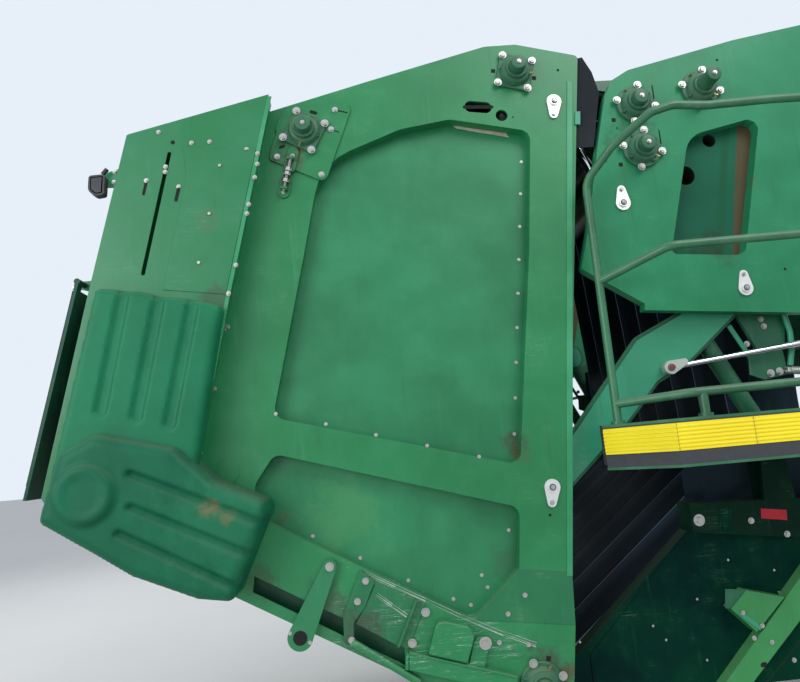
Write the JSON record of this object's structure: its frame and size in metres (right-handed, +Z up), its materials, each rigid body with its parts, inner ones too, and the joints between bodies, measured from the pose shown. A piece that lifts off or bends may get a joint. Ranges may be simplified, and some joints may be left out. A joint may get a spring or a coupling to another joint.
{
  "type": "round module builder of a cotton harvester",
  "caption": "Round module builder of a cotton harvester: hinged rear gate with belts and rollers, tension arm, wrap box with drop door, side platforms with handrails and a bolted front frame",
  "frame": {"origin": "centre of the four-bolt pattern on the front face of the front frame's middle cross beam, on the machine's centre plane", "axes": "+X to the machine's front, -Y to its right side, +Z up"},
  "size_m": [3.9178, 3.208, 2.81],
  "materials": {
    "green_paint": "mid green paint, dusty, scratched at the edges, rust and dirt in the corners",
    "dark_green_paint": "mid green paint in shade, dusty",
    "zinc": "zinc plated",
    "belt_rubber": "black fabric-reinforced rubber, slightly shiny",
    "yellow_paint": "yellow paint, lightly soiled",
    "roller_steel": "bare steel worn by the belts",
    "chrome_rod": "ground and chromed",
    "cover_plastic": "moulded bluish green plastic, satin, scuffed",
    "lamp_black": "black moulded housing"
  },
  "bodies": {
    "front_frame": {"mount_frame": "dark_green_paint", "front_side_right": "green_paint", "front_side_left": "green_paint", "front_sheets": "green_paint", "front_rollers": "roller_steel", "front_bearings": "dark_green_paint", "front_belts": "belt_rubber", "belt_span_top": "belt_rubber", "belt_span_low": "belt_rubber", "pin_plates_front": "zinc", "lower_sides": "dark_green_paint", "lower_rails": "dark_green_paint", "braces": "green_paint", "platform_deck": "dark_green_paint", "edge_strip": "yellow_paint", "handrail": "green_paint", "valve_bracket": "dark_green_paint", "side_curtains": "belt_rubber"},
    "gate": {"gate_side_right": "green_paint", "gate_side_left": "green_paint", "gate_sheets": "green_paint", "gate_beams": "dark_green_paint", "gate_rollers": "roller_steel", "gate_bearings": "dark_green_paint", "adjuster_plates": "green_paint", "gate_belts": "belt_rubber", "pin_plates_gate": "zinc", "top_flaps": "belt_rubber", "wrap_housing_right": "green_paint", "wrap_housing_left": "green_paint", "wrap_panels": "green_paint", "upper_covers": "cover_plastic", "lower_covers": "cover_plastic", "work_lamps": "lamp_black", "gate_bottom": "green_paint", "swing_links": "green_paint", "corner_brackets": "green_paint"},
    "door": {"rear_door": "dark_green_paint"},
    "arm": {"arm_plates": "green_paint", "arm_roller": "roller_steel"},
    "arm_barrel": {"arm_barrels": "green_paint"},
    "arm_rod": {"arm_rods": "chrome_rod"},
    "gate_barrel": {"gate_barrels": "green_paint"},
    "gate_rod": {"gate_rods": "chrome_rod"}
  },
  "joints": [
    {"name": "gate_hinge", "type": "hinge", "parent": "front_frame", "child": "gate", "pos_m": [-1.495, 0, 1.18], "axis": [0, 1, 0], "range_deg": [0, 60], "deforming": ["belt_span_top", "belt_span_low"]},
    {"name": "gate_barrel_pivot", "type": "hinge", "parent": "front_frame", "child": "gate_barrel", "pos_m": [-0.92, 0, -0.48], "axis": [0, 1, 0], "range_deg": [-0.1, 1]},
    {"name": "gate_rod_slide", "type": "slide", "parent": "gate_barrel", "child": "gate_rod", "axis": [-0.4351, 0, 0.9004], "range_m": [-0.001, 0.224]},
    {"name": "arm_swing", "type": "hinge", "parent": "front_frame", "child": "arm", "pos_m": [-0.971, 0, 0.111], "axis": [0, 1, 0], "range_deg": [-12, 20]},
    {"name": "arm_barrel_pivot", "type": "hinge", "parent": "front_frame", "child": "arm_barrel", "pos_m": [-0.265, 0, -0.087], "axis": [0, 1, 0], "range_deg": [-5, 8]},
    {"name": "arm_rod_slide", "type": "slide", "parent": "arm_barrel", "child": "arm_rod", "axis": [-0.9948, 0, -0.1016], "range_m": [-0.055, 0.09]},
    {"name": "door_hinge", "type": "hinge", "parent": "gate", "child": "door", "pos_m": [-3.7099, 0, 0.33], "axis": [0, 1, 0], "range_deg": [0, 90]}
  ],
  "couplings": [
    {"joint": "gate_barrel_pivot", "follows": "gate_hinge", "ratio": 0.0123},
    {"joint": "gate_rod_slide", "follows": "gate_hinge", "m_per_rad": 0.2123},
    {"joint": "arm_barrel_pivot", "follows": "arm_swing", "ratio": 0.364},
    {"joint": "arm_rod_slide", "follows": "arm_swing", "m_per_rad": 0.2443}
  ]
}
